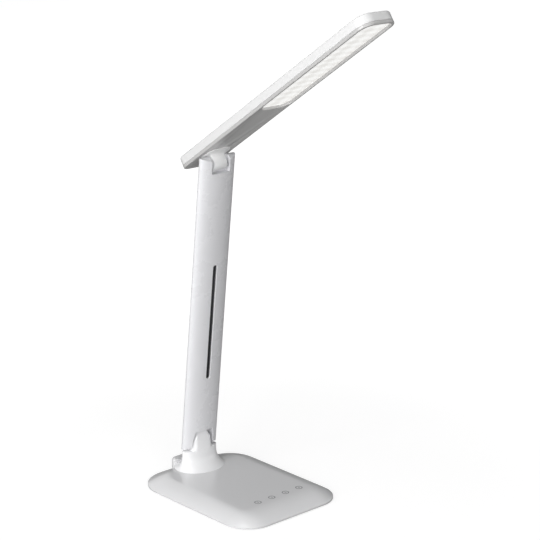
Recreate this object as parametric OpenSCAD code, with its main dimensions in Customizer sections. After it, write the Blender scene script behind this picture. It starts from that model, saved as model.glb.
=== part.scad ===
// Folding LED desk lamp: a weighted base with a hinge turret, an oval arm and a slim light head.
// Millimetres. The lamp stands on z = 0, its front (the user's side) is -Y, and X is left to right.

/* [Base] */
// Width of the base, left to right
base_w = 123; // [110:1:150]
// Depth of the base, front to back
base_d = 160; // [150:1:190]
// Corner radius of the base outline
base_r = 27; // [24:1:32]
// Height of the base at its flat middle
base_h = 10; // [10:0.5:12]
// Height of the upright rim
rim_h = 2.6; // [2.6:0.2:4]
// Width of the sloping shoulder at the sides
shoulder_w = 21; // [18:1:22]
// Depth of the sloping shoulder at the front and back
shoulder_d = 26; // [22:1:26]

/* [Arm] */
// Height of the base hinge axis
hinge_z = 37.25; // [37:0.25:40]
// Distance of the base hinge axis behind the middle of the base
hinge_y = 56.5; // [50:0.5:58]
// Forward lean of the arm from upright, in degrees
arm_lean = 6.16; // [0:0.01:15]
// Distance between the two hinge axes
arm_len = 273.8; // [265:0.2:300]
// Width of the oval arm
arm_w = 40.8; // [40:0.2:44]
// Thickness of the oval arm
arm_t = 14.5; // [14:0.25:15]
// Width of the fork notch at the head end
fork_w = 21.2; // [20.6:0.2:22]

/* [Head] */
// Upward tilt of the head from level, in degrees
head_pitch = 33.9; // [0:0.1:45]
// Reach of the head in front of its hinge axis
head_reach = 252.6; // [230:0.1:256]
// Length of the head's tail behind its hinge axis
head_tail = 27.4; // [20:0.1:40]
// Width of the head
head_w = 39.5; // [38:0.5:46]
// Thickness of the head
head_t = 11; // [11:0.5:14]
// Gap between the hinge axis and the head's underside
head_drop = 8.4; // [8.4:0.2:10]
// Length of the light window
window_len = 155; // [120:1:160]

/* [Light] */
// Light emitting diodes in each of the two rows
led_per_row = 14; // [8:1:16]

/* [Hidden] */

$fn = 48;
eps = 0.01;
wall = 2;
foot_lift = 0.8;
fit = 0.05;

// Base details
base_r_back = base_r + 6;
floor_z = 0.9;
floor_t = 1.3;
floor_in = 3.4;
cover_inner_z = base_h - 1.8;
post_x = 44;
post_y = 50;
post_r = 3.2;
screw_r = 1.25;
screw_head_r = 2.7;
screw_head_t = 0.7;
ballast_z = floor_z + floor_t;
ballast_t = 3.8;
touch_y = -49.2;
touch_shift = 6;
touch_pitch = 17;
touch_n = 4;
touch_board_z = ballast_z + ballast_t;
touch_board_t = 1;
mark_w = 6.8;
mark_sink = 0.3;
pad_half = 51;
pad_y = 69;
pad_r = 20;
pad_t = floor_z;

// Turret details
neck_a = arm_w / 2;
neck_b = arm_t / 2;
shoulder_z = hinge_z - arm_t / 2 - 2.2;
skirt_a = 26;
skirt_b = 21.5;
skirt_h = 13;
skirt_power = 2.6;
skirt_back = 12.95;
tongue_root = 12.1;
tongue_depth = neck_b - 0.2;
tongue_top = hinge_z + 9.5;
tongue_fullness = 0.65;
tongue_half = 9.6;
spot_r = 3.2;
spigot_r = 9.5;
turret_screw_x = 5;
inlet_z = 8.6;
inlet_back = 79.2;
inlet_box_half = 19;
inlet_box_top = 15.6;
inlet_box_r = 7;
inlet_r = 3.6;
inlet_bore_r = 2.75;
inlet_depth = 7.8;
inlet_len = 9.2;

// Hinge details
pin_r = 1.6;
pin_half = 17;
washer_r = 2.9;
foot_notch_low = 13.4;
foot_notch_mid = 12.3;
foot_notch_high = 10.6;
foot_notch_h = 10.4;
lug_half = 7.4;
lug_r = 5.9;
fork_drop = 7.5;
ear_x = 13.6;
ear_t = 1.6;
ear_half = 2.8;
yoke_reach = 38;
yoke_bridge = 12;
wire_x = 6;
wire_r = 0.7;

// Arm details
arm_a = arm_w / 2;
arm_b = arm_t / 2;
arm_wall = 1.7;
arm_core_low = 26;
arm_core_high = arm_len - 26;
slot_w = 4.6;
slot_low = 64.4;
slot_high = 177.9;
slot_depth = 2;
inlay_t = 0.8;
arm_screw_s = [46, 115, 190, 228];

// Head details
tip_r = 12;
tail_r = 9;
lower_t = 2.9;
head_wall = 1.5;
plate_t = 1.5;
window_rim = 2.4;
window_r = 10.5;
window_deep = 2.6;
diffuser_t = 1.2;
board_t = 1.2;
board_z = head_drop + head_t - head_wall - board_t - 0.02;
led_w = 2.8;
led_l = 3.5;
led_t = 0.7;
saddle_half = 13.5;
saddle_front = 16;
saddle_back = 10;
saddle_t = 0.8;
flare = 3;
bracket_screw_x = 5.2;

window_tip = -(head_reach - window_rim);
window_near = window_tip + window_len;

// Outlines and lofts

function arc_points(cx, cy, r, from, to, steps) = [
    for (i = [0 : steps]) let (t = from + (to - from) * i / steps) [cx + r * cos(t), cy + r * sin(t)]
];

// A rectangle from y0 (front) to y1 (back) with its own corner radius at each end, counterclockwise
function bar_outline(half, y0, y1, r0, r1, steps = 8) = concat(
    arc_points(half - r1, y1 - r1, r1, 0, 90, steps),
    arc_points(-half + r1, y1 - r1, r1, 90, 180, steps),
    arc_points(-half + r0, y0 + r0, r0, 180, 270, steps),
    arc_points(half - r0, y0 + r0, r0, 270, 360, steps)
);

function ellipse_outline(a, b, n = 64) = [for (i = [0 : n - 1]) [a * cos(360 * i / n), b * sin(360 * i / n)]];

function at_height(outline, z) = [for (p = outline) [p[0], p[1], z]];

// A closed solid through rings with the same number of points, each counterclockwise from above
module loft(rings) {
    n = len(rings[0]);
    last = len(rings) - 1;
    points = [for (ring = rings) for (p = ring) p];
    sides = [for (i = [0 : last - 1]) for (j = [0 : n - 1]) let (k = (j + 1) % n)
        each [[i * n + j, (i + 1) * n + j, (i + 1) * n + k], [i * n + j, (i + 1) * n + k, i * n + k]]];
    floor_face = [[for (j = [0 : n - 1]) j]];
    top_face = [[for (j = [n - 1 : -1 : 0]) last * n + j]];
    polyhedron(points = points, faces = concat(sides, floor_face, top_face), convexity = 6);
}

// The pillow form of the base: upright rim, sloping shoulder and flat top
function base_ring(in_x, in_y, z) = at_height(bar_outline(base_w / 2 - in_x, -base_d / 2 + in_y,
    base_d / 2 - in_y, base_r - (in_x + in_y) / 2, base_r_back - (in_x + in_y) / 2), z);

module base_pillow(inset, rim, top, bottom, steps = 10) {
    loft(concat(
        [base_ring(inset + (inset > 0 ? 0 : 0.5), inset + (inset > 0 ? 0 : 0.5), bottom)],
        inset > 0 ? [] : [base_ring(0, 0, bottom + 0.5)],
        [for (i = [0 : steps]) let (u = i / steps)
            base_ring(inset + (shoulder_w - inset) * u, inset + (shoulder_d - inset) * u,
                rim + (top - rim) * (1 - pow(1 - u, 2)))]
    ));
}

module arm_place() {
    translate([0, hinge_y, hinge_z]) rotate([arm_lean, 0, 0]) children();
}

module head_place() {
    arm_place() translate([0, 0, arm_len]) rotate([-head_pitch - arm_lean, 0, 0]) children();
}

module x_rod(r, half) {
    rotate([0, 90, 0]) cylinder(r = r, h = 2 * half, center = true);
}

// A cross-slot screw that stands on its shank's start, its head below
module small_screw(length, head) {
    cylinder(r = screw_r - 0.25, h = length);
    difference() {
        translate([0, 0, -head]) cylinder(r = screw_head_r, h = head);
        for (turn = [0, 90]) rotate(turn) translate([0, 0, -head]) cube([3.2, 0.7, 1], center = true);
    }
}

module at_posts() {
    for (x = [-post_x, post_x], y = [-post_y, post_y - 12]) translate([x, y, 0]) children();
}

module at_floor_screws() {
    at_posts() children();
    for (x = [-turret_screw_x, turret_screw_x]) translate([x, hinge_y, 0]) children();
}

// Base and turret

// The oval neck flares into a wide oval skirt that runs out on the flat top of the base
module turret_skirt() {
    steps = 12;
    loft([for (i = [0 : steps]) let (f = pow(1 - i / steps, skirt_power))
        at_height([for (p = ellipse_outline(neck_a + (skirt_a - neck_a) * f, neck_b + (skirt_b - neck_b) * f))
            p + [0, hinge_y]], base_h + skirt_h * i / steps)]);
}

module turret_neck() {
    translate([0, hinge_y, base_h])
        linear_extrude(shoulder_z - base_h) polygon(ellipse_outline(neck_a, neck_b));
}

// A dome, oval from above, that grows out of the neck
module turret_tongue() {
    root = shoulder_z - 1;
    rise = tongue_top - shoulder_z;
    translate([0, hinge_y, 0]) loft([for (i = [-1 : 15])
        let (t = i < 0 ? 0 : i < 15 ? 6 * i : 88.5, f = pow(cos(t), tongue_fullness),
             w = tongue_root * f, d = tongue_depth * f)
            at_height(bar_outline(w, -d, d, 0.8 * d, 0.8 * d), i < 0 ? root : shoulder_z + rise * sin(t))]);
}

module turret() {
    color("white") difference() {
        union() {
            difference() {
                turret_skirt();
                translate([-30, hinge_y + skirt_back, base_h - 1]) cube([60, 20, 20]);
            }
            turret_neck();
            turret_tongue();
            translate([0, hinge_y, ballast_z + ballast_t]) cylinder(r = spigot_r, h = 8);
        }
        translate([0, hinge_y, hinge_z]) {
            x_rod(pin_r + fit, 20);
            for (side = [-1, 1]) translate([side * (tongue_half + 5), 0, 0]) x_rod(spot_r, 5);
        }
        for (x = [-turret_screw_x, turret_screw_x]) translate([x, hinge_y, 0])
            cylinder(r = screw_r - 0.25 + fit, h = 14);
    }
}

module turret_screws() {
    color("silver") for (x = [-turret_screw_x, turret_screw_x])
        translate([x, hinge_y, floor_z + screw_head_t]) small_screw(11, screw_head_t);
}

// The raised box behind the turret, which holds the power inlet
module inlet_box() {
    edge = 2.8;
    hull() for (x = [-1, 1] * (inlet_box_half - inlet_box_r)) {
        for (step = [[0, 1], [0.3, 0.45], [0.62, 0.15], [1, 0]])
            translate([x, inlet_back - inlet_box_r, 4])
                cylinder(r = inlet_box_r - edge * step[0], h = inlet_box_top - 4 - edge * step[1], $fn = 32);
        translate([x * 1.2, hinge_y, 4]) cylinder(r = 3, h = inlet_box_top - 4 - edge, $fn = 32);
        translate([x, hinge_y, 4]) cylinder(r = 3, h = inlet_box_top - 4, $fn = 32);
    }
}

module base_cover() {
    ballast_top = ballast_z + ballast_t;
    color("white") difference() {
        union() {
            difference() {
                base_pillow(0, rim_h, base_h, foot_lift);
                base_pillow(wall, rim_h - 0.9, cover_inner_z, foot_lift - 1);
            }
            intersection() {
                at_posts() translate([0, 0, floor_z + floor_t]) cylinder(r = post_r, h = base_h);
                base_pillow(0.4, rim_h - 0.3, base_h - 0.6, foot_lift);
            }
            translate([0, hinge_y, 4]) linear_extrude(base_h - 4) polygon(ellipse_outline(skirt_a, skirt_b));
            inlet_box();
        }
        at_posts() cylinder(r = screw_r - 0.25 + fit, h = base_h - 1.6);
        translate([0, hinge_y, 0]) cylinder(r = spigot_r + fit, h = base_h + 1);
        translate([-30, hinge_y - 30, base_h]) cube([60, 30 + skirt_back + 0.02, 20]);
        translate([-32, hinge_y - 30, 3]) cube([64, 40, ballast_top - 3]);
        translate([0, inlet_back + 1, inlet_z]) rotate([90, 0, 0])
            cylinder(r = inlet_r + 0.02, h = inlet_len + 1.3);
        translate([-14, hinge_y - 23, 3])
            cube([28, inlet_back - 0.3 - inlet_len - hinge_y + 23, cover_inner_z - 3]);
        for (i = [0 : touch_n - 1]) translate([touch_x(i), touch_y, base_h - mark_sink])
            cylinder(r = mark_w / 2 + 0.02, h = 1);
    }
}

module base_floor() {
    color("gainsboro") difference() {
        translate([0, 0, floor_z]) linear_extrude(floor_t)
            polygon(bar_outline(base_w / 2 - floor_in, -base_d / 2 + floor_in, base_d / 2 - floor_in,
                base_r - floor_in, base_r_back - floor_in));
        at_floor_screws() {
            translate([0, 0, floor_z - 1]) cylinder(r = screw_r, h = 5);
            translate([0, 0, floor_z - 1]) cylinder(r = screw_head_r + 0.2, h = 1 + screw_head_t);
        }
    }
}

module ballast_plate() {
    color("slategray") translate([0, 0, ballast_z]) linear_extrude(ballast_t) difference() {
        polygon(bar_outline(50, -65, 65, 18, 18));
        at_posts() circle(r = post_r + 0.6);
        for (x = [-turret_screw_x, turret_screw_x]) translate([x, hinge_y]) circle(r = screw_r);
    }
}

module rubber_pad() {
    color("dimgray") linear_extrude(pad_t) polygon(bar_outline(pad_half, -pad_y, pad_y, pad_r, pad_r));
}

module base_screws() {
    color("silver") at_posts() translate([0, 0, floor_z + screw_head_t]) small_screw(6, screw_head_t);
}

// Touch control

function touch_x(i) = touch_shift + (i - (touch_n - 1) / 2) * touch_pitch;

module touch_board() {
    color("darkgreen") translate([touch_shift, touch_y, touch_board_z]) linear_extrude(touch_board_t)
        polygon(bar_outline(31, -7, 12, 2, 2));
}

module touch_driver_chips() {
    color("black") translate([touch_shift, touch_y + 8, touch_board_z + touch_board_t])
        for (x = [-17, 0, 17]) translate([x - 2.5, -1.5, 0]) cube([5, 4, 0.9]);
}

module touch_springs() {
    top = cover_inner_z - touch_board_z - touch_board_t;
    color("silver") for (i = [0 : touch_n - 1])
        translate([touch_x(i), touch_y, touch_board_z + touch_board_t]) difference() {
            cylinder(r = 4, h = top);
            translate([0, 0, 0.3]) cylinder(r = 3.4, h = top);
        }
}

module touch_marks() {
    color("silver") for (i = [0 : touch_n - 1]) translate([touch_x(i), touch_y, base_h - mark_sink])
        cylinder(r = mark_w / 2, h = mark_sink);
}

// Power inlet

module power_inlet() {
    color("black") translate([0, inlet_back - 0.3, inlet_z]) rotate([90, 0, 0]) difference() {
        cylinder(r = inlet_r, h = inlet_len);
        translate([0, 0, -eps]) cylinder(r = inlet_bore_r, h = inlet_depth);
    }
}

module inlet_pin() {
    color("silver") translate([0, inlet_back - 1.3, inlet_z]) rotate([90, 0, 0])
        cylinder(r = 1, h = inlet_depth - 1.02);
}

module base_wires() {
    color("whitesmoke") for (x = [10.9, 12.4])
        translate([x, inlet_back - inlet_len - 1.4, ballast_z + ballast_t + wire_r]) rotate([90, 0, 0])
            cylinder(r = wire_r, h = inlet_back - inlet_len - 1.4 - touch_y - 13);
}

// Base hinge

module base_hinge_pin() {
    color("silver") arm_place() x_rod(pin_r, pin_half);
}

module base_friction_washers() {
    gap = foot_notch_mid - 0.7 - tongue_half;
    color("silver") arm_place() for (side = [-1, 1]) translate([side * (tongue_half + gap / 2), 0, 0])
        difference() {
            x_rod(washer_r, gap / 2 - 0.06);
            x_rod(pin_r + fit, 3);
        }
}

// A steel fork inside each end of the arm, which carries the hinge pin in its two ears
module hinge_yoke() {
    color("lightsteelblue") difference() {
        union() {
            for (side = [-1, 1]) translate([side * (ear_x + ear_t / 2), 0, 0]) {
                x_rod(ear_half, ear_t / 2);
                translate([-ear_t / 2, -ear_half, 0]) cube([ear_t, 2 * ear_half, yoke_reach]);
            }
            translate([-ear_x - 0.5, 1, yoke_reach - yoke_bridge]) cube([2 * ear_x + 1, 1.4, yoke_bridge]);
        }
        x_rod(pin_r + 0.02, 20);
    }
}

module lower_hinge_yoke() {
    arm_place() hinge_yoke();
}

module upper_hinge_yoke() {
    arm_place() translate([0, 0, arm_len]) rotate([180, 0, 0]) hinge_yoke();
}

// Arm

module arm_solid() {
    intersection() {
        translate([0, 0, -arm_b - 1]) linear_extrude(arm_len + 2 * arm_b + 2)
            polygon(ellipse_outline(arm_a, arm_b));
        union() {
            x_rod(arm_b, arm_a + 1);
            translate([0, 0, arm_len]) x_rod(arm_b, arm_a + 1);
            translate([-arm_a - 1, -arm_b, 0]) cube([2 * arm_a + 2, 2 * arm_b, arm_len]);
        }
    }
}

// Room for the turret's tongue, the head's lug, the yokes, the pins and the wires
module arm_hollows() {
    translate([0, 0, arm_core_low]) linear_extrude(arm_core_high - arm_core_low)
        polygon(ellipse_outline(arm_a - arm_wall, arm_b - arm_wall));
    translate([0, arm_b + 1, 0]) rotate([90, 0, 0]) linear_extrude(2 * arm_b + 2) {
        polygon([[-foot_notch_low, -arm_b - 1], [foot_notch_low, -arm_b - 1], [foot_notch_mid, 4],
            [foot_notch_high, foot_notch_h - 1], [foot_notch_high - 1, foot_notch_h],
            [-foot_notch_high + 1, foot_notch_h], [-foot_notch_high, foot_notch_h - 1], [-foot_notch_mid, 4]]);
        translate([-fork_w / 2, arm_len - fork_drop]) square([fork_w, 20]);
    }
    for (end = [0, arm_len]) translate([0, 0, end]) {
        x_rod(pin_r + 0.02, pin_half + 0.1);
        for (side = [-1, 1]) translate([side * (ear_x + ear_t / 2), 0, 0]) {
            x_rod(ear_half + 0.1, ear_t / 2 + 0.1);
            translate([-ear_t / 2 - 0.1, -ear_half - 0.1, end > 0 ? -yoke_reach - 0.1 : 0])
                cube([ear_t + 0.2, 2 * ear_half + 0.2, yoke_reach + 0.1]);
        }
    }
    for (z = [foot_notch_h - 1, arm_core_high - 1])
        translate([wire_x - 2, -1.2, z]) cube([4, 2.4, 25]);
}

module slot_cut(width, depth, margin) {
    translate([0, -arm_b + depth, 0]) rotate([90, 0, 0]) linear_extrude(depth + 2) {
        for (z = [slot_low + width / 2 + margin, slot_high - width / 2 - margin])
            translate([0, z]) circle(r = width / 2);
        translate([-width / 2, slot_low + width / 2 + margin])
            square([width, slot_high - slot_low - width - 2 * margin]);
    }
}

module arm_half(front) {
    intersection() {
        translate([-arm_a - 1, front ? -arm_b - 1 : 0, -arm_b - 1])
            cube([2 * arm_a + 2, arm_b + 1, arm_len + 2 * arm_b + 2]);
        difference() {
            arm_solid();
            arm_hollows();
        }
    }
}

module arm_front_shell() {
    color("white") arm_place() difference() {
        union() {
            arm_half(true);
            translate([0, 0, slot_low - 4]) linear_extrude(slot_high - slot_low + 8)
                translate([-5, -arm_b + 1.2]) square([10, 2.9]);
            for (s = arm_screw_s) translate([0, 0, s]) rotate([90, 0, 0]) cylinder(r = 2.4, h = arm_b - 0.6);
        }
        slot_cut(slot_w, slot_depth, 0);
        for (s = arm_screw_s) translate([0, 1, s]) rotate([90, 0, 0])
            cylinder(r = screw_r - 0.25 + fit, h = 4.2);
    }
}

module arm_back_shell() {
    color("white") arm_place() difference() {
        union() {
            arm_half(false);
            for (s = arm_screw_s) translate([0, arm_b - 0.6, s]) rotate([90, 0, 0])
                cylinder(r = 2.6, h = arm_b - 0.6);
        }
        for (s = arm_screw_s) translate([0, arm_b + 1, s]) rotate([90, 0, 0]) {
            cylinder(r = screw_r, h = 12);
            cylinder(r = 2.1, h = 2.6);
        }
    }
}

module arm_slot_inlay() {
    color("dimgray") arm_place() intersection() {
        slot_cut(slot_w - 0.1, slot_depth, 0.05);
        translate([-10, -arm_b + slot_depth - inlay_t, 0]) cube([20, inlay_t, arm_len]);
    }
}

module arm_screws() {
    color("silver") arm_place() for (s = arm_screw_s) translate([0, arm_b - 1.6, s]) rotate([90, 0, 0]) {
        cylinder(r = screw_r - 0.25, h = 7);
        translate([0, 0, -1]) difference() {
            cylinder(r = 2, h = 1);
            for (turn = [0, 90]) rotate(turn) cube([2.4, 0.5, 1], center = true);
        }
    }
}

module arm_wires() {
    color("whitesmoke") arm_place() for (x = [wire_x - 0.9, wire_x + 0.9])
        translate([x, 0, foot_notch_h + 1]) cylinder(r = wire_r, h = arm_len - fork_drop - foot_notch_h - 2);
}

// Head hinge

module head_hinge_pin() {
    color("silver") arm_place() translate([0, 0, arm_len]) x_rod(pin_r, pin_half);
}

module head_friction_washers() {
    gap = fork_w / 2 - lug_half;
    color("silver") arm_place() translate([0, 0, arm_len])
        for (side = [-1, 1]) translate([side * (lug_half + gap / 2), 0, 0]) difference() {
            x_rod(washer_r, gap / 2 - 0.06);
            x_rod(pin_r + fit, 4);
        }
}

// The lug turns in the arm's fork, flares upward and ends in a thin saddle under the head
module head_bracket() {
    top = head_drop - saddle_t;
    color("white") head_place() difference() {
        union() {
            x_rod(lug_r, lug_half);
            translate([-lug_half, -lug_r, 0]) cube([2 * lug_half, 2 * lug_r, top - flare]);
            loft([for (i = [0 : 8])
                let (t = i < 8 ? 90 * i / 7 : 90, e = flare * (1 - cos(t)), z = top - flare + flare * sin(t) + (i < 8 ? 0 : 0.2))
                    at_height(bar_outline(lug_half + e, -lug_r - e, lug_r + e, 0.3 + e, 0.3 + e), z)]);
            loft([
                at_height(bar_outline(saddle_half - 1.2, -saddle_front + 1.6, saddle_back - 1.2, 8.8, 5.8), top),
                at_height(bar_outline(saddle_half - 0.3, -saddle_front + 0.4, saddle_back - 0.3, 9.7, 6.7),
                    top + saddle_t / 2),
                at_height(bar_outline(saddle_half, -saddle_front, saddle_back, 10, 7), head_drop - 0.02)
            ]);
        }
        x_rod(pin_r + fit, 20);
        for (side = [-1, 1]) translate([side * bracket_screw_x, 0, head_drop - 4.4])
            cylinder(r = screw_r - 0.25 + fit, h = 8);
        translate([-1.5, -1, pin_r + 1.2]) cube([3, 2, 10]);
    }
}

module bracket_screws() {
    color("silver") head_place() for (side = [-1, 1])
        translate([side * bracket_screw_x, 0, head_drop + plate_t]) {
            translate([0, 0, -5.6]) cylinder(r = screw_r - 0.25, h = 5.6 + eps);
            difference() {
                cylinder(r = 2.2, h = 1.3);
                for (turn = [0, 90]) rotate(turn) translate([0, 0, 1.3]) cube([2.6, 0.5, 1], center = true);
            }
        }
}

// Head shells

function head_ring(inset, z) = at_height(bar_outline(head_w / 2 - inset, -head_reach + inset, head_tail - inset,
    tip_r - inset, tail_r - inset), z);

module window_prism(grow, z, h) {
    translate([0, 0, z]) linear_extrude(h)
        polygon(bar_outline(head_w / 2 - window_rim + grow, window_tip - grow, window_near + grow,
            window_r + grow, window_r + grow));
}

module head_lower_shell() {
    color("whitesmoke") head_place() difference() {
        union() {
            difference() {
                loft([head_ring(0.7, head_drop), head_ring(0.2, head_drop + 0.2), head_ring(0, head_drop + 0.7),
                    head_ring(0, head_drop + lower_t - 0.25), head_ring(0.25, head_drop + lower_t)]);
                translate([0, 0, head_drop + plate_t]) linear_extrude(5)
                    polygon(bar_outline(head_w / 2 - head_wall, -head_reach + head_wall, head_tail - head_wall,
                        tip_r - head_wall, tail_r - head_wall));
            }
            intersection() {
                window_prism(1.2, head_drop + plate_t - 0.2, window_deep - plate_t + 0.2);
                translate([0, 0, head_drop]) linear_extrude(10)
                    polygon(bar_outline(head_w / 2 - 1, -head_reach + 1, head_tail - 1, tip_r - 1, tail_r - 1));
            }
        }
        window_prism(0, head_drop - 1, 8);
        for (side = [-1, 1]) translate([side * bracket_screw_x, 0, head_drop - 1])
            cylinder(r = screw_r + 0.1, h = 8);
        translate([-1.5, -1, head_drop - 1]) cube([3, 2, 10]);
    }
}

module head_upper_shell() {
    top = head_drop + head_t;
    color("white") head_place() difference() {
        loft([head_ring(0.25, head_drop + lower_t + 0.02), head_ring(0, head_drop + lower_t + 0.3),
            head_ring(0, top - 1.8), head_ring(0.3, top - 0.8), head_ring(0.9, top - 0.25), head_ring(1.9, top)]);
        translate([0, 0, head_drop]) linear_extrude(head_t - head_wall)
            polygon(bar_outline(head_w / 2 - head_wall, -head_reach + head_wall, head_tail - head_wall,
                tip_r - head_wall, tail_r - head_wall));
    }
}

// Light

module light_diffuser() {
    color("white", 0.8) head_place() window_prism(0.7, head_drop + window_deep + 0.02, diffuser_t);
}

module reflector_frame() {
    color("white") head_place() difference() {
        window_prism(0.5, head_drop + window_deep + diffuser_t + 0.05,
            board_z - head_drop - window_deep - diffuser_t - 0.1);
        window_prism(-1.2, head_drop + window_deep, 9);
    }
}

module led_board() {
    color("silver") head_place() translate([0, 0, board_z]) linear_extrude(board_t)
        polygon(bar_outline(head_w / 2 - window_rim, window_tip + 1, window_near - 1, 9, 9));
}

module led_chips() {
    pitch = (window_len - 20) / (led_per_row - 1);
    color("gold") head_place() for (i = [0 : led_per_row - 1], side = [-1, 1])
        translate([side * 8 - led_w / 2, window_tip + 10 + i * pitch - led_l / 2, board_z - led_t])
            cube([led_w, led_l, led_t]);
}

module head_wires() {
    color("whitesmoke") head_place() for (x = [-0.9, 0.9])
        translate([x, -2, head_drop + plate_t + 2.2]) rotate([90, 0, 0])
            cylinder(r = wire_r, h = -window_near - 4);
}

base_cover();
base_floor();
ballast_plate();
rubber_pad();
base_screws();
touch_board();
touch_driver_chips();
touch_springs();
touch_marks();
power_inlet();
inlet_pin();
base_wires();
turret();
turret_screws();
base_hinge_pin();
base_friction_washers();
lower_hinge_yoke();
arm_front_shell();
arm_back_shell();
arm_slot_inlay();
arm_screws();
arm_wires();
upper_hinge_yoke();
head_hinge_pin();
head_friction_washers();
head_bracket();
bracket_screws();
head_lower_shell();
head_upper_shell();
light_diffuser();
reflector_frame();
led_board();
led_chips();
head_wires();
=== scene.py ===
import math

import bmesh
import bpy
from mathutils import Matrix, Vector


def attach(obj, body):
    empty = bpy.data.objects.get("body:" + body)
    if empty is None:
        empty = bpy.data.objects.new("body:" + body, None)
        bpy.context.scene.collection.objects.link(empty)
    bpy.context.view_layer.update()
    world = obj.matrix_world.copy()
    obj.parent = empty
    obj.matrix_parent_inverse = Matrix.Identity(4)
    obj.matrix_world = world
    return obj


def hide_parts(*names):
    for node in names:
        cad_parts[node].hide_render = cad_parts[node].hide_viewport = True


# Folding LED desk lamp, dressed for its portrait. The lamp's sizes are written in millimetres.
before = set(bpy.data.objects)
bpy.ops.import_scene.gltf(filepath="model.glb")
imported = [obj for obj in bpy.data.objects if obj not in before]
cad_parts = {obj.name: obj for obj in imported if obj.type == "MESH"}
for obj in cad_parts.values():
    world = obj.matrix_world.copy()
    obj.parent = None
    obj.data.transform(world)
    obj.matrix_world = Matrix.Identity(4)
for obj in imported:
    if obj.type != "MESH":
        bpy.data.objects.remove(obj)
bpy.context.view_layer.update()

MM = 0.001

# Sizes of the base and the turret
BASE_W, BASE_D, BASE_R_FRONT, BASE_R_BACK = 123.0, 160.0, 27.0, 33.0
BASE_TOP, RIM_TOP, BASE_LIFT = 10.0, 2.6, 0.8
SHOULDER_W, SHOULDER_D = 21.0, 26.0
HINGE_Y, HINGE_Z = 56.5, 37.25
SKIRT_A, SKIRT_B, SKIRT_H, SKIRT_POWER, SKIRT_BACK = 26.0, 21.5, 13.0, 2.6, 12.95
NECK_TOP = 27.8
TONGUE_HALF, TONGUE_DEEP, TONGUE_TOP, TONGUE_FULLNESS = 12.1, 7.05, 46.75, 0.65
SPOT_HALF, SPOT_R, PIN_BORE_R = 9.6, 3.2, 1.65
INLET_BACK, INLET_HALF, INLET_TOP, INLET_Z, INLET_HOLE_R = 79.2, 19.0, 15.6, 8.6, 3.62
TOUCH_Y, TOUCH_SHIFT, TOUCH_PITCH = -49.2, 6.0, 17.0
RING_R, RING_INNER_R, BAR_HALF_W, BAR_HALF_LEN = 3.4, 2.5, 0.4, 1.3
PAD_HALF, PAD_DEEP, PAD_R, PAD_T = 51.0, 69.0, 20.0, 0.9

# Sizes of the arm
ARM_LEAN, ARM_LEN, ARM_A, ARM_B = 6.16, 273.8, 20.4, 7.25
SLOT_LOW, SLOT_HIGH, SLOT_W, SLOT_DEEP = 64.4, 177.9, 4.6, 2.0
FORK_HALF, FORK_DROP = 10.6, 7.5
NOTCH_LOW, NOTCH_MID, NOTCH_HIGH, NOTCH_H = 13.74, 12.3, 10.6, 10.4
ARM_SCREWS = (46.0, 115.0, 190.0, 228.0)

# Sizes of the head
HEAD_PITCH, HEAD_REACH, HEAD_TAIL, HEAD_HALF = 33.9, 252.6, 27.4, 19.75
HEAD_DROP, HEAD_T, BEZEL_T = 8.4, 11.0, 2.9
TIP_R, TAIL_R = 12.0, 9.0
WINDOW_RIM, WINDOW_LEN, WINDOW_R, WINDOW_DEEP = 2.4, 155.0, 10.5, 2.6
LUG_HALF, LUG_R, FLARE = 7.4, 5.9, 3.0
SADDLE_HALF, SADDLE_FRONT, SADDLE_BACK, SADDLE_T = 13.5, 16.0, 10.0, 0.8

ARM_FRAME = Matrix.Translation((0, HINGE_Y * MM, HINGE_Z * MM)) @ Matrix.Rotation(math.radians(ARM_LEAN), 4, "X")
HEAD_FRAME = (
    ARM_FRAME
    @ Matrix.Translation((0, 0, ARM_LEN * MM))
    @ Matrix.Rotation(math.radians(-HEAD_PITCH - ARM_LEAN), 4, "X")
)


# Hand tools for shaping a piece


def take(piece):
    """Only this piece is selected, in object mode."""
    if bpy.context.mode != "OBJECT":
        bpy.ops.object.mode_set(mode="OBJECT")
    bpy.ops.object.select_all(action="DESELECT")
    piece.select_set(True)
    bpy.context.view_layer.objects.active = piece


def shape(piece):
    """Opens the piece's mesh for shaping, with nothing selected."""
    take(piece)
    bpy.ops.object.mode_set(mode="EDIT")
    bpy.ops.mesh.select_all(action="DESELECT")


def done():
    bpy.ops.object.mode_set(mode="OBJECT")


def pick_faces(test):
    """Selects the faces whose middle (in millimetres) and normal pass the test."""
    mesh = bpy.context.edit_object.data
    bpy.ops.mesh.select_mode(type="FACE")
    bpy.ops.mesh.select_all(action="DESELECT")
    bm = bmesh.from_edit_mesh(mesh)
    for f in bm.faces:
        if test(f.calc_center_median() / MM, f.normal):
            f.select_set(True)
    bmesh.update_edit_mesh(mesh)


def pick_edges(test):
    """Selects the edges whose two ends (in millimetres) pass the test."""
    mesh = bpy.context.edit_object.data
    bpy.ops.mesh.select_mode(type="EDGE")
    bpy.ops.mesh.select_all(action="DESELECT")
    bm = bmesh.from_edit_mesh(mesh)
    for e in bm.edges:
        if test(e.verts[0].co / MM, e.verts[1].co / MM):
            e.select_set(True)
    bmesh.update_edit_mesh(mesh)


def block(name, low, high):
    """A box between two corners, the start of a piece."""
    if bpy.context.mode != "OBJECT":
        bpy.ops.object.mode_set(mode="OBJECT")
    bpy.ops.object.select_all(action="DESELECT")
    size = [(b - a) * MM for a, b in zip(low, high)]
    mid = [(a + b) / 2 * MM for a, b in zip(low, high)]
    bpy.ops.mesh.primitive_cube_add(size=1, location=mid, scale=size)
    piece = bpy.context.active_object
    piece.name = name
    piece.data.name = name
    bpy.ops.object.transform_apply(location=True, rotation=True, scale=True)
    return piece


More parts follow.
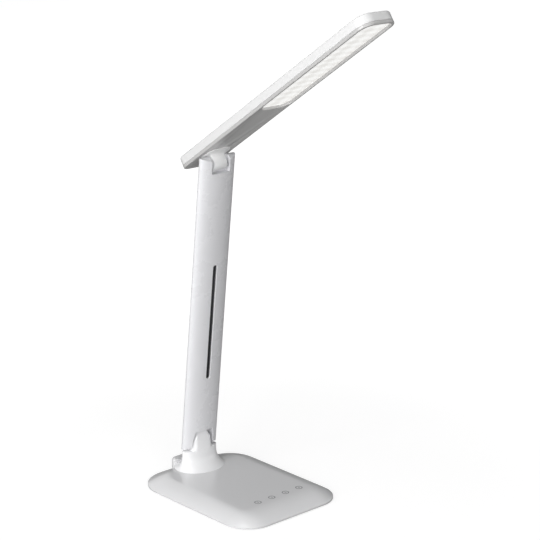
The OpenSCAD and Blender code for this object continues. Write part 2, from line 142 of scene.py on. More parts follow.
def rod(name, r, length, middle, along="Z", sides=64):
    """A round bar along an axis, the start of a piece."""
    if bpy.context.mode != "OBJECT":
        bpy.ops.object.mode_set(mode="OBJECT")
    bpy.ops.object.select_all(action="DESELECT")
    turn = {"X": (0, math.pi / 2, 0), "Y": (math.pi / 2, 0, 0), "Z": (0, 0, 0)}[along]
    bpy.ops.mesh.primitive_cylinder_add(
        vertices=sides, radius=r * MM, depth=length * MM, location=[c * MM for c in middle], rotation=turn
    )
    piece = bpy.context.active_object
    piece.name = name
    piece.data.name = name
    bpy.ops.object.transform_apply(location=True, rotation=True, scale=True)
    return piece


def upright(a, b):
    return abs(a.x - b.x) < 1e-3 and abs(a.y - b.y) < 1e-3 and abs(a.z - b.z) > 1e-3


def level(a, b, z):
    return abs(a.z - z) < 1e-3 and abs(b.z - z) < 1e-3


def round_edges(test, r, segments):
    pick_edges(test)
    bpy.ops.mesh.bevel(offset=r * MM, segments=segments, affect="EDGES", profile=0.5)


def inset_steps(steps, even=True):
    """From the selected face, one ring after another: how far in, how far out along the normal."""
    for inward, rise in steps:
        bpy.ops.mesh.inset(thickness=max(inward, 1e-4) * MM, depth=rise * MM, use_even_offset=even)


def modify(piece, kind, **values):
    """Adds a modifier, sets it and applies it."""
    take(piece)
    m = piece.modifiers.new(kind.lower(), kind)
    for key, value in values.items():
        setattr(m, key, value)
    bpy.ops.object.modifier_apply(modifier=m.name)


def combine(piece, tool, operation):
    """Cuts, joins or keeps what two pieces share, and puts the tool away."""
    modify(piece, "BOOLEAN", object=tool, operation=operation, solver="EXACT")
    bpy.data.objects.remove(tool, do_unlink=True)


def soften(piece, width, angle=32, segments=2):
    """Small rounds along the sharp edges."""
    modify(piece, "BEVEL", width=width * MM, segments=segments, limit_method="ANGLE", angle_limit=math.radians(angle))


def tidy(piece, angle=35):
    """Merges doubled points, turns all faces outwards and shades them smooth up to an angle."""
    shape(piece)
    bpy.ops.mesh.select_all(action="SELECT")
    bpy.ops.mesh.remove_doubles(threshold=1e-6)
    bpy.ops.mesh.normals_make_consistent(inside=False)
    done()
    take(piece)
    bpy.ops.object.shade_smooth_by_angle(angle=math.radians(angle))


def place(piece, where):
    """Moves a piece that was made at its hinge into the lamp, and leaves its object at the origin."""
    take(piece)
    piece.matrix_world = where @ piece.matrix_world
    bpy.ops.object.transform_apply(location=True, rotation=True, scale=True)


def fit(piece, material, body, slot, *nodes):
    """Gives a finished piece its material, its body and the nodes it stands for; the slot is not used."""
    piece.data.materials.clear()
    piece.data.materials.append(material)
    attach(piece, body)
    if nodes:
        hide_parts(*nodes)
    return piece


# Surface effects shared by the materials


def effect_group(name, inputs, outputs):
    group = bpy.data.node_groups.new(name, "ShaderNodeTree")
    for label, kind, value in inputs:
        socket = group.interface.new_socket(label, in_out="INPUT", socket_type=kind)
        if value is not None:
            socket.default_value = value
    for label, kind in outputs:
        group.interface.new_socket(label, in_out="OUTPUT", socket_type=kind)
    return group, group.nodes.new("NodeGroupInput"), group.nodes.new("NodeGroupOutput")


def node(tree, kind, **values):
    made = tree.nodes.new(kind)
    for key, value in values.items():
        if key in made.inputs:
            made.inputs[key].default_value = value
        else:
            setattr(made, key, value)
    return made


def moulded_grain():
    """Fine skin of a moulded surface: a short grain on a long, faint waviness."""
    group, enter, leave = effect_group(
        "moulded_grain",
        [("Vector", "NodeSocketVector", None), ("Grain Scale", "NodeSocketFloat", 3000.0),
         ("Wave Scale", "NodeSocketFloat", 45.0), ("Wave Share", "NodeSocketFloat", 0.3)],
        [("Height", "NodeSocketFloat")],
    )
    grain = node(group, "ShaderNodeTexNoise", Detail=3.0, Roughness=0.6)
    wave = node(group, "ShaderNodeTexNoise", Detail=1.0, Roughness=0.4)
    mix = node(group, "ShaderNodeMix", data_type="FLOAT")
    group.links.new(enter.outputs["Vector"], grain.inputs["Vector"])
    group.links.new(enter.outputs["Vector"], wave.inputs["Vector"])
    group.links.new(enter.outputs["Grain Scale"], grain.inputs["Scale"])
    group.links.new(enter.outputs["Wave Scale"], wave.inputs["Scale"])
    group.links.new(enter.outputs["Wave Share"], mix.inputs[0])
    group.links.new(grain.outputs["Fac"], mix.inputs[2])
    group.links.new(wave.outputs["Fac"], mix.inputs[3])
    group.links.new(mix.outputs[0], leave.inputs["Height"])
    return group


def handling_marks():
    """Uneven gloss where hands and cloths have been: soft patches with faint streaks."""
    group, enter, leave = effect_group(
        "handling_marks",
        [("Vector", "NodeSocketVector", None), ("Patch Scale", "NodeSocketFloat", 25.0),
         ("Streak Scale", "NodeSocketFloat", 220.0), ("Streak Share", "NodeSocketFloat", 0.25)],
        [("Mask", "NodeSocketFloat")],
    )
    patch = node(group, "ShaderNodeTexNoise", Detail=2.0, Roughness=0.5)
    stretch = node(group, "ShaderNodeMapping")
    stretch.inputs["Scale"].default_value = (1.0, 0.15, 1.0)
    streak = node(group, "ShaderNodeTexNoise", Detail=4.0, Roughness=0.65)
    mix = node(group, "ShaderNodeMix", data_type="FLOAT")
    steps = node(group, "ShaderNodeMapRange", interpolation_type="SMOOTHSTEP")
    steps.inputs["From Min"].default_value = 0.32
    steps.inputs["From Max"].default_value = 0.7
    group.links.new(enter.outputs["Vector"], patch.inputs["Vector"])
    group.links.new(enter.outputs["Vector"], stretch.inputs["Vector"])
    group.links.new(stretch.outputs["Vector"], streak.inputs["Vector"])
    group.links.new(enter.outputs["Patch Scale"], patch.inputs["Scale"])
    group.links.new(enter.outputs["Streak Scale"], streak.inputs["Scale"])
    group.links.new(enter.outputs["Streak Share"], mix.inputs[0])
    group.links.new(patch.outputs["Fac"], mix.inputs[2])
    group.links.new(streak.outputs["Fac"], mix.inputs[3])
    group.links.new(mix.outputs[0], steps.inputs["Value"])
    group.links.new(steps.outputs["Result"], leave.inputs["Mask"])
    return group


GRAIN = moulded_grain()
MARKS = handling_marks()


def finish(name, colour, second, rough, rough_marks, grain=2600.0, depth=0.0008, metal=0.0, coat=0.0, gloss=0.5):
    """A surface with two close tones, uneven gloss and a fine skin."""
    material = bpy.data.materials.new(name)
    material.use_nodes = True
    tree = material.node_tree
    skin = tree.nodes["Principled BSDF"]
    skin.inputs["Metallic"].default_value = metal
    skin.inputs["Coat Weight"].default_value = coat
    skin.inputs["Coat Roughness"].default_value = 0.06
    skin.inputs["Specular IOR Level"].default_value = gloss
    where = tree.nodes.new("ShaderNodeTexCoord")
    marks = node(tree, "ShaderNodeGroup", node_tree=MARKS)
    fine = node(tree, "ShaderNodeGroup", node_tree=GRAIN)
    fine.inputs["Grain Scale"].default_value = grain
    tone = node(tree, "ShaderNodeMix", data_type="RGBA")
    tone.inputs[6].default_value = (*colour, 1)
    tone.inputs[7].default_value = (*second, 1)
    sheen = node(tree, "ShaderNodeMapRange")
    sheen.inputs["To Min"].default_value = rough
    sheen.inputs["To Max"].default_value = rough_marks
    bump = node(tree, "ShaderNodeBump", Strength=0.25)
    bump.inputs["Distance"].default_value = depth * MM
    tree.links.new(where.outputs["Object"], marks.inputs["Vector"])
    tree.links.new(where.outputs["Object"], fine.inputs["Vector"])
    tree.links.new(marks.outputs["Mask"], tone.inputs[0])
    tree.links.new(tone.outputs[2], skin.inputs["Base Color"])
    tree.links.new(marks.outputs["Mask"], sheen.inputs["Value"])
    tree.links.new(sheen.outputs["Result"], skin.inputs["Roughness"])
    tree.links.new(fine.outputs["Height"], bump.inputs["Height"])
    tree.links.new(bump.outputs["Normal"], skin.inputs["Normal"])
    return material


base_white = finish("base_gloss_white", (0.80, 0.80, 0.81), (0.795, 0.796, 0.806), 0.17, 0.19, coat=0.3)
# Lighter than the base's white: painted light on the turret, for the extra light its neck and skirt catch.
turret_white = finish("turret_white_painted_light", (0.92, 0.92, 0.93), (0.915, 0.916, 0.926), 0.2, 0.22, coat=0.3)
arm_white = finish("arm_gloss_white", (0.79, 0.79, 0.81), (0.788, 0.788, 0.808), 0.27, 0.28, coat=0.15)
head_white = finish("head_gloss_white", (0.80, 0.80, 0.80), (0.795, 0.796, 0.796), 0.2, 0.23, coat=0.2)
# Darker than the head's white: painted shade on the underside frame of the head.
bezel_white = finish("bezel_white_painted_shade", (0.54, 0.535, 0.53), (0.535, 0.531, 0.526), 0.2, 0.23, coat=0.2)
# Lighter than the head's white: painted light on the bracket and lug under the head.
bracket_white = finish("bracket_white_painted_light", (0.93, 0.93, 0.93), (0.925, 0.926, 0.926), 0.28, 0.32)
inlay_dark = finish("inlay_matt_dark", (0.06, 0.06, 0.064), (0.052, 0.052, 0.056), 0.5, 0.6, depth=0.02)
mark_grey = finish("touch_mark_print", (0.24, 0.245, 0.26), (0.21, 0.215, 0.23), 0.4, 0.5)
rubber_dark = finish("pad_rubber", (0.03, 0.03, 0.032), (0.04, 0.04, 0.041), 0.75, 0.88, 1500.0, 0.05)
floor_grey = finish("floor_plate_grey", (0.33, 0.33, 0.335), (0.31, 0.31, 0.315), 0.5, 0.6, 1200.0, 0.05)
ballast_zinc = finish("ballast_zinc", (0.34, 0.35, 0.37), (0.29, 0.3, 0.32), 0.4, 0.55, 900.0, 0.04, 0.9)
steel_bright = finish("screw_plated_steel", (0.62, 0.62, 0.63), (0.57, 0.57, 0.59), 0.25, 0.38, 2500.0, 0.01, 1.0)
steel_pin = finish("pin_ground_steel", (0.5, 0.51, 0.53), (0.44, 0.45, 0.47), 0.2, 0.33, 2500.0, 0.01, 1.0)
board_green = finish("board_solder_mask", (0.015, 0.11, 0.04), (0.012, 0.09, 0.032), 0.3, 0.4)
chip_black = finish("chip_moulded_black", (0.012, 0.012, 0.013), (0.018, 0.018, 0.018), 0.55, 0.7, depth=0.01)
inlet_black = finish("inlet_moulded_black", (0.018, 0.018, 0.02), (0.024, 0.024, 0.026), 0.42, 0.52, depth=0.01)
contact_brass = finish("contact_brass", (0.62, 0.5, 0.2), (0.56, 0.44, 0.17), 0.22, 0.35, 2500.0, 0.01, 1.0)
wire_white = finish("wire_cover_white", (0.68, 0.68, 0.67), (0.65, 0.65, 0.64), 0.55, 0.63)
frame_white = finish("reflector_white", (0.86, 0.86, 0.86), (0.85, 0.85, 0.85), 0.4, 0.46)
diode_yellow = finish("diode_phosphor", (0.82, 0.62, 0.14), (0.8, 0.6, 0.13), 0.45, 0.55)


def window_glow():
    """Frosted window lit by two rows of diodes close behind it."""
    material = bpy.data.materials.new("window_frosted_glow")
    material.use_nodes = True
    tree = material.node_tree
    skin = tree.nodes["Principled BSDF"]
    skin.inputs["Base Color"].default_value = (0.5, 0.5, 0.49, 1)
    skin.inputs["Emission Strength"].default_value = 0.71
    where = tree.nodes.new("ShaderNodeTexCoord")
    local = node(tree, "ShaderNodeMapping", vector_type="TEXTURE")
    turn = HEAD_FRAME.to_euler()
    local.inputs["Location"].default_value = HEAD_FRAME.translation
    local.inputs["Rotation"].default_value = (turn.x, turn.y, turn.z)
    parts = tree.nodes.new("ShaderNodeSeparateXYZ")
    tree.links.new(where.outputs["Object"], local.inputs["Vector"])
    tree.links.new(local.outputs["Vector"], parts.inputs["Vector"])

    def ripple(source, period, shift):
        move = node(tree, "ShaderNodeMath", operation="ADD")
        move.inputs[1].default_value = shift * MM
        turn_by = node(tree, "ShaderNodeMath", operation="MULTIPLY")
        turn_by.inputs[1].default_value = 2 * math.pi / (period * MM)
        wave = node(tree, "ShaderNodeMath", operation="COSINE")
        tree.links.new(source, move.inputs[0])
        tree.links.new(move.outputs[0], turn_by.inputs[0])
        tree.links.new(turn_by.outputs[0], wave.inputs[0])
        return wave.outputs[0]

    pitch = (WINDOW_LEN - 20) / 13
    along = ripple(parts.outputs["Y"], pitch, HEAD_REACH - WINDOW_RIM - 10)
    across = ripple(parts.outputs["X"], 16.0, 8.0)
    both = node(tree, "ShaderNodeMath", operation="ADD")
    tree.links.new(along, both.inputs[0])
    tree.links.new(across, both.inputs[1])
    level_of = node(tree, "ShaderNodeMapRange", interpolation_type="SMOOTHSTEP")
    level_of.inputs["From Min"].default_value = -1.6
    level_of.inputs["From Max"].default_value = 1.6
    tree.links.new(both.outputs[0], level_of.inputs["Value"])
    tone = node(tree, "ShaderNodeMix", data_type="RGBA")
    tone.inputs[6].default_value = (0.8, 0.785, 0.76, 1)
    tone.inputs[7].default_value = (1.0, 1.0, 0.985, 1)
    tree.links.new(level_of.outputs["Result"], tone.inputs[0])
    tree.links.new(tone.outputs[2], skin.inputs["Emission Color"])
    marks = node(tree, "ShaderNodeGroup", node_tree=MARKS)
    sheen = node(tree, "ShaderNodeMapRange")
    sheen.inputs["To Min"].default_value = 0.42
    sheen.inputs["To Max"].default_value = 0.52
    fine = node(tree, "ShaderNodeGroup", node_tree=GRAIN)
    bump = node(tree, "ShaderNodeBump", Strength=0.3)
    bump.inputs["Distance"].default_value = 0.03 * MM
    tree.links.new(where.outputs["Object"], marks.inputs["Vector"])
    tree.links.new(where.outputs["Object"], fine.inputs["Vector"])
    tree.links.new(marks.outputs["Mask"], sheen.inputs["Value"])
    tree.links.new(sheen.outputs["Result"], skin.inputs["Roughness"])
    tree.links.new(fine.outputs["Height"], bump.inputs["Height"])
    tree.links.new(bump.outputs["Normal"], skin.inputs["Normal"])
    return material


window_lit = window_glow()


# Base


def base_shell():
    """Cover of the base: upright rim, sloping shoulder, flat middle, a hollow below."""
    low = BASE_LIFT + 0.5
    shell = block("base_shell", (-BASE_W / 2, -BASE_D / 2, low), (BASE_W / 2, BASE_D / 2, RIM_TOP))
    shape(shell)
    round_edges(lambda a, b: upright(a, b) and a.y < 0, BASE_R_FRONT, 24)
    round_edges(lambda a, b: upright(a, b) and a.y > 0 and abs(a.x) > BASE_W / 2 - 1e-3, BASE_R_BACK, 24)
    pick_faces(lambda c, n: n.z > 0.9)
    steps = 20
    deep, z = BASE_D / 2, RIM_TOP
    for i in range(1, steps + 1):
        u = i / steps
        new_z = RIM_TOP + (BASE_TOP - RIM_TOP) * (1 - (1 - u) ** 2)
        new_deep = BASE_D / 2 - SHOULDER_D * u
        step = SHOULDER_W / steps
        inset_steps([(step, new_z - z)])
        bpy.ops.transform.resize(value=(1, new_deep / (deep - step), 1), center_override=(0, 0, 0))
        deep, z = new_deep, new_z
    inset_steps([(1.5, 0.0)])
    pick_faces(lambda c, n: n.z < -0.9)
    inset_steps([(0.15, 0.3), (0.35, 0.2), (1.5, 0.0), (0.05, -1.2)])
    done()
    seat = rod("turret_seat", 1.0, 5.0, (0, HINGE_Y, BASE_TOP - 2.5), "Z", 128)
    shape(seat)
    bpy.ops.mesh.select_all(action="SELECT")
    bpy.ops.transform.resize(value=(SKIRT_A, SKIRT_B, 1), center_override=(0, HINGE_Y * MM, 0))
    done()
    combine(shell, seat, "UNION")
    box = block("inlet_box", (-INLET_HALF, HINGE_Y + SKIRT_BACK + 0.02, 3), (INLET_HALF, INLET_BACK, INLET_TOP))
    shape(box)
    round_edges(lambda a, b: upright(a, b) and a.y > 75, 7.0, 14)
    round_edges(lambda a, b: level(a, b, INLET_TOP) and max(a.y, b.y) > 70, 2.8, 8)
    done()
    combine(shell, box, "UNION")
    combine(shell, rod("inlet_hole", INLET_HOLE_R, 10.5, (0, INLET_BACK - 4.3, INLET_Z), "Y", 48), "DIFFERENCE")
    tidy(shell, 30)
    return fit(shell, base_white, "base", "base_white", "base_cover")


def turret_body():
    """Oval neck on a flared oval skirt, with the domed tongue that the arm turns on."""
    body = rod("turret_body", SKIRT_B, 1.0, (0, HINGE_Y, BASE_TOP - 0.5), "Z", 128)
    shape(body)
    bpy.ops.mesh.select_all(action="SELECT")
    bpy.ops.transform.resize(value=(SKIRT_A / SKIRT_B, 1, 1), center_override=(0, HINGE_Y * MM, 0))
    pick_faces(lambda c, n: n.z > 0.9)
    steps = 22
    width, depth = SKIRT_A, SKIRT_B
    for i in range(1, steps + 1):
        f = (1 - i / steps) ** SKIRT_POWER
        new_width = ARM_A + (SKIRT_A - ARM_A) * f
        new_depth = ARM_B + (SKIRT_B - ARM_B) * f
        bpy.ops.mesh.extrude_region_move(TRANSFORM_OT_translate={"value": (0, 0, SKIRT_H * MM / steps)})
        bpy.ops.transform.resize(value=(new_width / width, new_depth / depth, 1))
        width, depth = new_width, new_depth
    bpy.ops.mesh.extrude_region_move(
        TRANSFORM_OT_translate={"value": (0, 0, (NECK_TOP - BASE_TOP - SKIRT_H - 0.5) * MM)}
    )
    inset_steps([(0.15, 0.3), (0.35, 0.2)])
    done()
    combine(body, block("rear_cut", (-40, HINGE_Y + SKIRT_BACK, 0), (40, 100, 60)), "DIFFERENCE")
    front, back = HINGE_Y - TONGUE_DEEP, HINGE_Y + TONGUE_DEEP
    tongue = block("tongue", (-TONGUE_HALF, front, NECK_TOP - 1), (TONGUE_HALF, back, NECK_TOP))
    shape(tongue)
    round_edges(upright, 0.8 * TONGUE_DEEP, 14)
    pick_faces(lambda c, n: n.z > 0.9)
    size, z = 1.0, NECK_TOP
    steps = 24
    for i in range(1, steps + 1):
        t = math.pi / 2 * min(i / steps, 0.983)
        new_size = math.cos(t) ** TONGUE_FULLNESS
        new_z = NECK_TOP + (TONGUE_TOP - NECK_TOP) * math.sin(t)
        bpy.ops.mesh.extrude_region_move(TRANSFORM_OT_translate={"value": (0, 0, (new_z - z) * MM)})
        bpy.ops.transform.resize(value=(new_size / size, new_size / size, 1))
        size, z = new_size, new_z
    done()
    combine(body, tongue, "UNION")
    combine(body, rod("bore", PIN_BORE_R, 40.0, (0, HINGE_Y, HINGE_Z), "X", 32), "DIFFERENCE")
    for side in (-1, 1):
        spot = rod("spot", SPOT_R, 10.0, (side * (SPOT_HALF + 5), HINGE_Y, HINGE_Z), "X", 48)
        combine(body, spot, "DIFFERENCE")
    tidy(body, 40)
    return fit(body, turret_white, "base", "turret_white", "turret")


# Arm


def arm_blank():
    """The whole oval arm at its lower hinge, with its fork, notch and rounded ends."""
    blank = rod("arm_blank", 1.0, ARM_LEN + 20, (0, 0, ARM_LEN / 2), "Z", 160)
    shape(blank)
    bpy.ops.mesh.select_all(action="SELECT")
    bpy.ops.transform.resize(value=(ARM_A, ARM_B, 1))
    done()
    r = ARM_B + 0.03
    slab = block("slab", (-30, -r, -r), (30, r, ARM_LEN + r))
    shape(slab)
    round_edges(lambda a, b: abs(a.y - b.y) < 1e-3 and abs(a.z - b.z) < 1e-3, r * 0.999, 20)
    done()
    combine(blank, slab, "INTERSECT")
    fork = block("fork", (-FORK_HALF, -12, ARM_LEN - FORK_DROP), (FORK_HALF, 12, ARM_LEN + 20))
    shape(fork)
    round_edges(lambda a, b: abs(a.y - b.y) > 1 and a.z < ARM_LEN, 1.2, 5)
    done()
    combine(blank, fork, "DIFFERENCE")
    notch = block("notch", (-NOTCH_LOW, -12, -12), (NOTCH_LOW, 12, 4))
    shape(notch)
    pick_faces(lambda c, n: n.z > 0.9)
    width, z = NOTCH_LOW, 4.0
    bpy.ops.transform.resize(value=(NOTCH_MID / NOTCH_LOW, 1, 1))
    width = NOTCH_MID
    corner = ((0, 1), (0.35, 0.3), (1, 0))
    for new_width, new_z in [(NOTCH_HIGH - inward, NOTCH_H - below) for inward, below in corner]:
        bpy.ops.mesh.extrude_region_move(TRANSFORM_OT_translate={"value": (0, 0, (new_z - z) * MM)})
        bpy.ops.transform.resize(value=(new_width / width, 1, 1))
        width, z = new_width, new_z
    done()
    combine(blank, notch, "DIFFERENCE")
    return blank


def slot_tool():
    """The long slot's shape, opening a little towards the surface."""
    mid = (SLOT_LOW + SLOT_HIGH) / 2
    half_len = (SLOT_HIGH - SLOT_LOW) / 2
    tool = block("slot", (-SLOT_W / 2, -ARM_B + 0.35, SLOT_LOW), (SLOT_W / 2, -ARM_B + SLOT_DEEP, SLOT_HIGH))
    shape(tool)
    round_edges(lambda a, b: abs(a.y - b.y) > 1, SLOT_W / 2 * 0.998, 12)
    pick_faces(lambda c, n: n.y < -0.9)
    bpy.ops.mesh.extrude_region_move(TRANSFORM_OT_translate={"value": (0, -0.5 * MM, 0)})
    grow = (SLOT_W / 2 + 0.45) / (SLOT_W / 2)
    bpy.ops.transform.resize(value=(grow, 1, (half_len + 0.45) / half_len), center_override=(0, 0, mid * MM))
    done()
    return tool


def arm_shells():
    """Front and back halves, parted along the arm's sides."""
    blank = arm_blank()
    take(blank)
    bpy.ops.object.duplicate()
    back = bpy.context.active_object
    halves = []
    for half, name, side in ((blank, "arm_front", -1), (back, "arm_back", 1)):
        half.name = name
        half.data.name = name
        shape(half)
        bpy.ops.mesh.select_all(action="SELECT")
        bpy.ops.mesh.bisect(
            plane_co=(0, side * 0.04 * MM, 0), plane_no=(0, side, 0), use_fill=True, clear_inner=True
        )
        done()
        if side < 0:
            combine(half, slot_tool(), "DIFFERENCE")
        else:
            for s in ARM_SCREWS:
                combine(half, rod("screw_hole", 2.1, 5.2, (0, ARM_B, s), "Y", 32), "DIFFERENCE")
        tidy(half, 30)
        place(half, ARM_FRAME)
        halves.append(half)
    fit(halves[0], arm_white, "arm", "arm_white", "arm_front_shell")
    fit(halves[1], arm_white, "arm", "arm_white", "arm_back_shell")


def slot_inlay():
    """Dark strip along the bottom of the slot, its ends rounded and its face slightly crowned."""
    half = SLOT_W / 2 - 0.05
    deep = -ARM_B + SLOT_DEEP
    strip = block("slot_strip", (-half, deep - 0.6, SLOT_LOW + 0.05), (half, deep, SLOT_HIGH - 0.05))
    shape(strip)
    round_edges(lambda a, b: abs(a.y - b.y) > 0.3, half * 0.998, 12)
    pick_faces(lambda c, n: n.y < -0.9)
    inset_steps([(0.12, 0.1), (0.5, 0.06), (0.7, 0.02)], even=False)
    done()
    tidy(strip, 30)
    place(strip, ARM_FRAME)
    return fit(strip, inlay_dark, "arm", "inlay_dark", "arm_slot_inlay")


# Head


def rounded_bar(name, half, front, back, low, high, front_r, back_r):
    """A flat bar with its own corner rounds at the front and at the back."""
    bar = block(name, (-half, front, low), (half, back, high))
    shape(bar)
    round_edges(lambda a, b: upright(a, b) and a.y < (front + back) / 2, front_r, 14)
    round_edges(lambda a, b: upright(a, b) and a.y > (front + back) / 2 and abs(abs(a.x) - half) < 1e-3, back_r, 12)
    done()
    return bar


def head_top():
    """Upper cover of the head, with a soft upper edge and a fine step at the parting line."""
    top = HEAD_DROP + HEAD_T
    low = HEAD_DROP + BEZEL_T + 0.27
    cover = rounded_bar("head_top", HEAD_HALF, -HEAD_REACH, HEAD_TAIL, low, top - 1.8, TIP_R, TAIL_R)
    shape(cover)
    pick_faces(lambda c, n: n.z > 0.9)
    inset_steps([(0.1, 0.55), (0.25, 0.5), (0.4, 0.4), (0.5, 0.25), (0.65, 0.1), (1.5, 0.0)])
    pick_faces(lambda c, n: n.z < -0.9)
    inset_steps([(0.25, 0.22), (1.25, 0.0), (0.05, -6.0)])
    done()
    tidy(cover, 30)
    place(cover, HEAD_FRAME)
    return fit(cover, head_white, "head", "head_white", "head_upper_shell")


def head_bezel():
    """Underside frame of the head, open at the light window."""
    low, high = HEAD_DROP + 0.7, HEAD_DROP + BEZEL_T - 0.22
    bezel = rounded_bar("head_bezel", HEAD_HALF, -HEAD_REACH, HEAD_TAIL, low, high, TIP_R, TAIL_R)
    shape(bezel)
    pick_faces(lambda c, n: n.z < -0.9)
    inset_steps([(0.12, 0.35), (0.22, 0.22), (0.36, 0.13), (0.6, 0.0)])
    pick_faces(lambda c, n: n.z > 0.9)
    inset_steps([(0.25, 0.2)])
    done()
    far = -(HEAD_REACH - WINDOW_RIM)
    half = HEAD_HALF - WINDOW_RIM
    hole = rounded_bar("window_hole", half, far, far + WINDOW_LEN, HEAD_DROP - 2, HEAD_DROP + 6, WINDOW_R, WINDOW_R)
    combine(bezel, hole, "DIFFERENCE")
    for side in (-1, 1):
        combine(bezel, rod("screw_way", 1.35, 8, (side * 5.2, 0, HEAD_DROP + 1), "Z", 32), "DIFFERENCE")
    soften(bezel, 0.15, 50)
    tidy(bezel, 35)
    place(bezel, HEAD_FRAME)
    return fit(bezel, bezel_white, "head", "bezel_white", "head_lower_shell")


def window_panel():
    """Frosted panel behind the bezel's opening."""
    far = -(HEAD_REACH - WINDOW_RIM)
    half = HEAD_HALF - WINDOW_RIM
    low = HEAD_DROP + WINDOW_DEEP
    panel = rounded_bar("window_panel", half + 0.6, far - 0.6, far + WINDOW_LEN + 0.6, low + 0.04, low + 1.2, 11, 11)
    shape(panel)
    pick_faces(lambda c, n: n.z < -0.9)
    inset_steps([(0.3, 0.02), (6.0, 0.0)])
    done()
    tidy(panel, 30)
    place(panel, HEAD_FRAME)
    return fit(panel, window_lit, "head", "diffuser_white", "light_diffuser")


def bracket():
    """Lug on the hinge pin, a short neck that flares upward and a thin saddle under the head."""
    top = HEAD_DROP - SADDLE_T
    neck = block("bracket", (-LUG_HALF, -LUG_R, 0), (LUG_HALF, LUG_R, top - FLARE))
    shape(neck)
    pick_faces(lambda c, n: n.z > 0.9)
    width, depth, z = LUG_HALF, LUG_R, top - FLARE
    for i in range(1, 11):
        t = math.pi / 2 * i / 10
        out = FLARE * (1 - math.cos(t))
        new_z = top - FLARE + FLARE * math.sin(t)
        bpy.ops.mesh.extrude_region_move(TRANSFORM_OT_translate={"value": (0, 0, (new_z - z) * MM)})
        bpy.ops.transform.resize(value=((LUG_HALF + out) / width, (LUG_R + out) / depth, 1))
        width, depth, z = LUG_HALF + out, LUG_R + out, new_z
    done()
    lug = rod("lug", LUG_R, 2 * LUG_HALF, (0, 0, 0), "X", 64)
    combine(neck, lug, "UNION")
    low = HEAD_DROP - 0.35
    saddle = rounded_bar("saddle", SADDLE_HALF, -SADDLE_FRONT, SADDLE_BACK, low, HEAD_DROP - 0.01, 9.9, 7)
    shape(saddle)
    pick_faces(lambda c, n: n.z < -0.9)
    inset_steps([(0.15, 0.2), (0.35, 0.14), (0.7, 0.09)])
    done()
    combine(neck, saddle, "UNION")
    combine(neck, rod("bore", PIN_BORE_R, 40, (0, 0, 0), "X", 32), "DIFFERENCE")
    soften(neck, 0.3, 50)
    tidy(neck, 40)
    place(neck, HEAD_FRAME)
    return fit(neck, bracket_white, "head", "bracket_white", "head_bracket")


# Small pieces


def touch_prints():
    """Printed marks over the four touch points: a fine ring with a short bar inside."""
    made = []
    for i in range(4):
        x = TOUCH_SHIFT + (i - 1.5) * TOUCH_PITCH
        if made:
            take(made[0])
            bpy.ops.object.duplicate()
            mark = bpy.context.active_object
            mark.location.x = i * TOUCH_PITCH * MM
            bpy.ops.object.transform_apply(location=True, rotation=True, scale=True)
        else:
            mark = rod("touch_print", RING_R, 0.3, (x, TOUCH_Y, BASE_TOP - 0.13), "Z", 48)
            combine(mark, rod("inside", RING_INNER_R, 2, (x, TOUCH_Y, BASE_TOP), "Z", 48), "DIFFERENCE")
            low = (x - BAR_HALF_W, TOUCH_Y - BAR_HALF_LEN, BASE_TOP - 0.28)
            bar = block("bar", low, (x + BAR_HALF_W, TOUCH_Y + BAR_HALF_LEN, BASE_TOP + 0.02))
            combine(mark, bar, "UNION")
            tidy(mark, 30)
        made.append(mark)
    take(made[0])
    for mark in made[1:]:
        mark.select_set(True)
    bpy.ops.object.join()
    prints = bpy.context.active_object
    prints.name = "touch_prints"
    return fit(prints, mark_grey, "base", "mark_grey", "touch_marks")


def pad():
    """Flat rubber pad under the base, with a rounded rim and a shallow middle."""
    piece = block("rubber_pad_under", (-PAD_HALF, -PAD_DEEP, 0.3), (PAD_HALF, PAD_DEEP, PAD_T))
    shape(piece)
    round_edges(upright, PAD_R, 20)
    pick_faces(lambda c, n: n.z < -0.9)
    inset_steps([(0.1, 0.18), (0.25, 0.12), (7.0, 0.0), (0.4, -0.2), (6.0, 0.0)])
    done()
    tidy(piece, 30)
    return fit(piece, rubber_dark, "base", "pad_rubber", "rubber_pad")


def dress_inner():
    """Materials of the CAD pieces that keep their own mesh."""
    inner = {
        "base_floor": floor_grey, "ballast_plate": ballast_zinc, "base_screws": steel_bright,
        "turret_screws": steel_bright, "touch_board": board_green, "touch_driver_chips": chip_black,
        "touch_springs": steel_bright, "power_inlet": inlet_black,
        "inlet_pin": contact_brass, "base_wires": wire_white, "base_hinge_pin": steel_pin,
        "base_friction_washers": steel_pin, "lower_hinge_yoke": steel_pin, "arm_screws": steel_bright,
        "arm_wires": wire_white, "upper_hinge_yoke": steel_pin, "head_hinge_pin": steel_pin,
        "head_friction_washers": steel_pin, "bracket_screws": steel_bright, "reflector_frame": frame_white,
        "led_board": frame_white, "led_chips": diode_yellow, "head_wires": wire_white,
    }
    for name, material in inner.items():
        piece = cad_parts[name]
        piece.data.materials.clear()
        piece.data.materials.append(material)


base_shell()
turret_body()
arm_shells()
slot_inlay()
head_top()
head_bezel()
window_panel()
bracket()
touch_prints()
pad()
dress_inner()


# Studio

MIRRORED_SHARE = 0.12


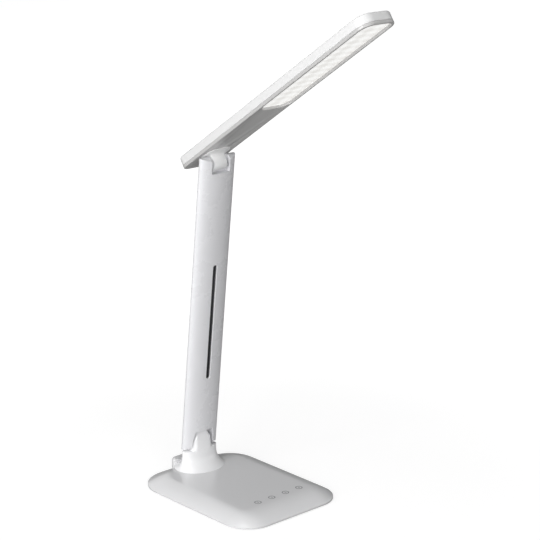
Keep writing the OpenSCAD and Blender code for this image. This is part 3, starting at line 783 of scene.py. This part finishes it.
def studio():
    """White floor and backdrop, a large soft light from the left, and weaker ones all round."""

    def white_for(tree):
        """Rays that see the white backdrop: straight ones and those through glass, and mirrored ones in part."""
        rays = tree.nodes.new("ShaderNodeLightPath")
        part = node(tree, "ShaderNodeMath", operation="MULTIPLY")
        part.inputs[1].default_value = MIRRORED_SHARE
        mirrored = node(tree, "ShaderNodeMath", operation="MAXIMUM")
        through = node(tree, "ShaderNodeMath", operation="MAXIMUM")
        tree.links.new(rays.outputs["Is Camera Ray"], mirrored.inputs[0])
        tree.links.new(rays.outputs["Is Glossy Ray"], part.inputs[0])
        tree.links.new(part.outputs[0], mirrored.inputs[1])
        tree.links.new(mirrored.outputs[0], through.inputs[0])
        tree.links.new(rays.outputs["Is Transmission Ray"], through.inputs[1])
        return through.outputs[0]

    bpy.ops.object.select_all(action="DESELECT")
    bpy.ops.mesh.primitive_plane_add(size=6, location=(0, 0, 0))
    ground = bpy.context.active_object
    ground.name = "studio_floor"
    material = bpy.data.materials.new("studio_floor")
    material.use_nodes = True
    tree = material.node_tree
    skin = tree.nodes["Principled BSDF"]
    skin.inputs["Base Color"].default_value = (0.32, 0.32, 0.32, 1)
    skin.inputs["Roughness"].default_value = 0.9
    skin.inputs["Specular IOR Level"].default_value = 0.0
    where = tree.nodes.new("ShaderNodeTexCoord")
    reach = node(tree, "ShaderNodeVectorMath", operation="LENGTH")
    fade = node(tree, "ShaderNodeMapRange", interpolation_type="SMOOTHSTEP")
    fade.inputs["From Min"].default_value = 0.2
    fade.inputs["From Max"].default_value = 0.7
    fade.inputs["To Min"].default_value = 0.8
    fade.inputs["To Max"].default_value = 1.0
    white = tree.nodes.new("ShaderNodeEmission")
    both = tree.nodes.new("ShaderNodeAddShader")
    choose = tree.nodes.new("ShaderNodeMixShader")
    out = tree.nodes["Material Output"]
    tree.links.new(where.outputs["Object"], reach.inputs[0])
    tree.links.new(reach.outputs["Value"], fade.inputs["Value"])
    tree.links.new(fade.outputs["Result"], white.inputs["Strength"])
    tree.links.new(skin.outputs[0], both.inputs[0])
    tree.links.new(white.outputs[0], both.inputs[1])
    tree.links.new(white_for(tree), choose.inputs[0])
    tree.links.new(skin.outputs[0], choose.inputs[1])
    tree.links.new(both.outputs[0], choose.inputs[2])
    tree.links.new(choose.outputs[0], out.inputs["Surface"])
    ground.data.materials.append(material)

    world = bpy.data.worlds.new("studio_world")
    bpy.context.scene.world = world
    world.use_nodes = True
    tree = world.node_tree
    back = tree.nodes["Background"]
    back.inputs["Color"].default_value = (1, 1, 1, 1)
    level_of = node(tree, "ShaderNodeMapRange")
    level_of.inputs["To Min"].default_value = 0.04
    level_of.inputs["To Max"].default_value = 1.0
    tree.links.new(white_for(tree), level_of.inputs["Value"])
    tree.links.new(level_of.outputs["Result"], back.inputs["Strength"])

    def softbox(name, place_at, aim, size, watts):
        bpy.ops.object.select_all(action="DESELECT")
        bpy.ops.object.light_add(type="AREA", location=place_at)
        lamp = bpy.context.active_object
        lamp.name = name
        lamp.data.shape = "RECTANGLE"
        lamp.data.size, lamp.data.size_y = size
        lamp.data.energy = watts
        lamp.rotation_euler = (Vector(aim) - Vector(place_at)).to_track_quat("-Z", "Y").to_euler()

    softbox("key_left", (-1.85, -0.35, 0.7), (0, 0, 0.22), (1.4, 1.6), 37)
    softbox("fill_front", (-0.9, -2.0, 0.6), (0, 0, 0.2), (1.2, 0.8), 19)
    softbox("fill_right", (2.0, -0.9, 0.8), (0, 0, 0.2), (1.2, 1.2), 5)
    softbox("fill_back", (0.6, 2.1, 1.0), (0, 0, 0.2), (1.4, 1.2), 4)
    softbox("top_soft", (-0.3, -0.1, 2.2), (0, 0, 0.1), (1.2, 1.2), 11)


studio()

# Camera at the photograph's place, its focal length in pixels
FOCAL, FRAME_SIDE = 1779.8, 540
camera_data = bpy.data.cameras.new("portrait")
camera = bpy.data.objects.new("portrait", camera_data)
bpy.context.scene.collection.objects.link(camera)
camera_data.sensor_width = 36.0
camera_data.lens = FOCAL / FRAME_SIDE * 36.0
around, down = math.radians(-42.28), math.radians(15.94)
behind = Vector((math.sin(around) * math.cos(down), -math.cos(around) * math.cos(down), math.sin(down)))
camera.location = (-1.01866, -1.16433, 0.65716)
camera.rotation_euler = (-behind).to_track_quat("-Z", "Y").to_euler()
camera_data.clip_start = 0.05
camera_data.clip_end = 20.0
bpy.context.scene.camera = camera
bpy.context.scene.view_settings.view_transform = "Standard"
